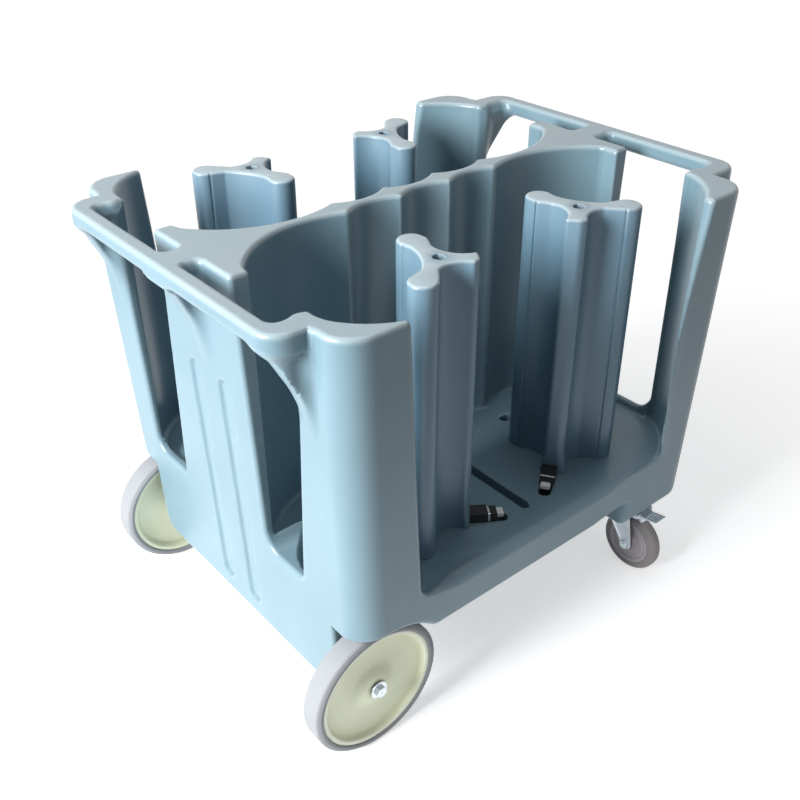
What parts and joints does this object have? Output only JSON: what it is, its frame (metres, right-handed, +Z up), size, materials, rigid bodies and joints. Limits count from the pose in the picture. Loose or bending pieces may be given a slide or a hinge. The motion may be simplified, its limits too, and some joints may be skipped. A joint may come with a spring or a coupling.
{
  "type": "dish transport trolley",
  "caption": "Moulded plastic transport trolley with a centre divider, corner posts, sliding dish towers, large fixed wheels and braked swivel casters.",
  "frame": {"origin": "on the floor, below the middle of the trolley", "axes": "+X towards the casters, +Y away from the side seen in the picture, +Z up"},
  "size_m": [1, 0.779, 0.81],
  "materials": {
    "body": "satin moulded polyethylene",
    "tower": "satin moulded polyethylene",
    "wheel_disc": "satin",
    "wheel_tyre": "grey non-marking rubber",
    "caster_core": "satin",
    "caster_tyre": "grey non-marking rubber",
    "zinc": "bright zinc plate",
    "bush": "nylon",
    "latch": "gloss",
    "button": "gloss"
  },
  "bodies": {
    "chassis": {"body_shell": "body", "axle": "zinc", "near_collar": "zinc", "near_hub_bolt": "zinc", "near_hub_washer": "zinc", "near_caster_plate": "zinc", "near_plate_bolts": "zinc", "near_swivel_race": "zinc", "near_swivel_pin": "zinc", "far_collar": "zinc", "far_hub_bolt": "zinc", "far_hub_washer": "zinc", "far_caster_plate": "zinc", "far_plate_bolts": "zinc", "far_swivel_race": "zinc", "far_swivel_pin": "zinc"},
    "near_wheel": {"near_wheel_disc": "wheel_disc", "near_tyre": "wheel_tyre", "near_wheel_bush": "bush"},
    "near_swivel": {"near_fork": "zinc", "near_caster_axle": "zinc", "near_axle_nut": "zinc", "near_pedal_pin": "zinc"},
    "near_caster": {"near_caster_core": "caster_core", "near_caster_tyre": "caster_tyre", "near_caster_bush": "bush"},
    "near_pedal": {"near_brake_pedal": "zinc"},
    "far_wheel": {"far_wheel_disc": "wheel_disc", "far_tyre": "wheel_tyre", "far_wheel_bush": "bush"},
    "far_swivel": {"far_fork": "zinc", "far_caster_axle": "zinc", "far_axle_nut": "zinc", "far_pedal_pin": "zinc"},
    "far_caster": {"far_caster_core": "caster_core", "far_caster_tyre": "caster_tyre", "far_caster_bush": "bush"},
    "far_pedal": {"far_brake_pedal": "zinc"},
    "near_left_tower_slide": {"near_left_tower": "tower", "near_left_rod": "zinc", "near_left_shoe": "bush", "near_left_latch": "latch"},
    "near_left_latch_button": {"near_left_button": "button"},
    "near_right_tower_slide": {"near_right_tower": "tower", "near_right_rod": "zinc", "near_right_shoe": "bush", "near_right_latch": "latch"},
    "near_right_latch_button": {"near_right_button": "button"},
    "far_left_tower_slide": {"far_left_tower": "tower", "far_left_rod": "zinc", "far_left_shoe": "bush", "far_left_latch": "latch"},
    "far_left_latch_button": {"far_left_button": "button"},
    "far_right_tower_slide": {"far_right_tower": "tower", "far_right_rod": "zinc", "far_right_shoe": "bush", "far_right_latch": "latch"},
    "far_right_latch_button": {"far_right_button": "button"}
  },
  "joints": [
    {"name": "near_wheel_spin", "type": "hinge", "parent": "chassis", "child": "near_wheel", "pos_m": [-0.37, -0.3205, 0.125], "axis": [0, 1, 0], "continuous": true},
    {"name": "near_caster_swivel", "type": "hinge", "parent": "chassis", "child": "near_swivel", "pos_m": [0.312, -0.29, 0.16], "axis": [0, 0, 1], "continuous": true},
    {"name": "near_caster_spin", "type": "hinge", "parent": "near_swivel", "child": "near_caster", "pos_m": [0.312, -0.326, 0.0635], "axis": [1, 0, 0], "continuous": true},
    {"name": "near_brake_press", "type": "hinge", "parent": "near_swivel", "child": "near_pedal", "pos_m": [0.312, -0.342, 0.1432], "axis": [1, 0, 0], "range_deg": [0, 25]},
    {"name": "far_wheel_spin", "type": "hinge", "parent": "chassis", "child": "far_wheel", "pos_m": [-0.37, 0.3205, 0.125], "axis": [0, 1, 0], "continuous": true},
    {"name": "far_caster_swivel", "type": "hinge", "parent": "chassis", "child": "far_swivel", "pos_m": [0.312, 0.29, 0.16], "axis": [0, 0, 1], "continuous": true},
    {"name": "far_caster_spin", "type": "hinge", "parent": "far_swivel", "child": "far_caster", "pos_m": [0.312, 0.326, 0.0635], "axis": [1, 0, 0], "continuous": true},
    {"name": "far_brake_press", "type": "hinge", "parent": "far_swivel", "child": "far_pedal", "pos_m": [0.312, 0.342, 0.1432], "axis": [-1, 0, 0], "range_deg": [0, 25]},
    {"name": "near_left_slide", "type": "slide", "parent": "chassis", "child": "near_left_tower_slide", "axis": [0.829, -0.5592, 0], "range_m": [-0.02, 0.055]},
    {"name": "near_left_button_press", "type": "slide", "parent": "near_left_tower_slide", "child": "near_left_latch_button", "axis": [-0.829, 0.5592, 0], "range_m": [0, 0.006], "stiffness_N_per_m": 400},
    {"name": "near_right_slide", "type": "slide", "parent": "chassis", "child": "near_right_tower_slide", "axis": [-0.829, -0.5592, 0], "range_m": [-0.02, 0.055]},
    {"name": "near_right_button_press", "type": "slide", "parent": "near_right_tower_slide", "child": "near_right_latch_button", "axis": [0.829, 0.5592, 0], "range_m": [0, 0.006], "stiffness_N_per_m": 400},
    {"name": "far_left_slide", "type": "slide", "parent": "chassis", "child": "far_left_tower_slide", "axis": [0.829, 0.5592, 0], "range_m": [-0.02, 0.02]},
    {"name": "far_left_button_press", "type": "slide", "parent": "far_left_tower_slide", "child": "far_left_latch_button", "axis": [-0.829, -0.5592, 0], "range_m": [0, 0.006], "stiffness_N_per_m": 400},
    {"name": "far_right_slide", "type": "slide", "parent": "chassis", "child": "far_right_tower_slide", "axis": [-0.829, 0.5592, 0], "range_m": [-0.02, 0.02]},
    {"name": "far_right_button_press", "type": "slide", "parent": "far_right_tower_slide", "child": "far_right_latch_button", "axis": [0.829, -0.5592, 0], "range_m": [0, 0.006], "stiffness_N_per_m": 400}
  ]
}
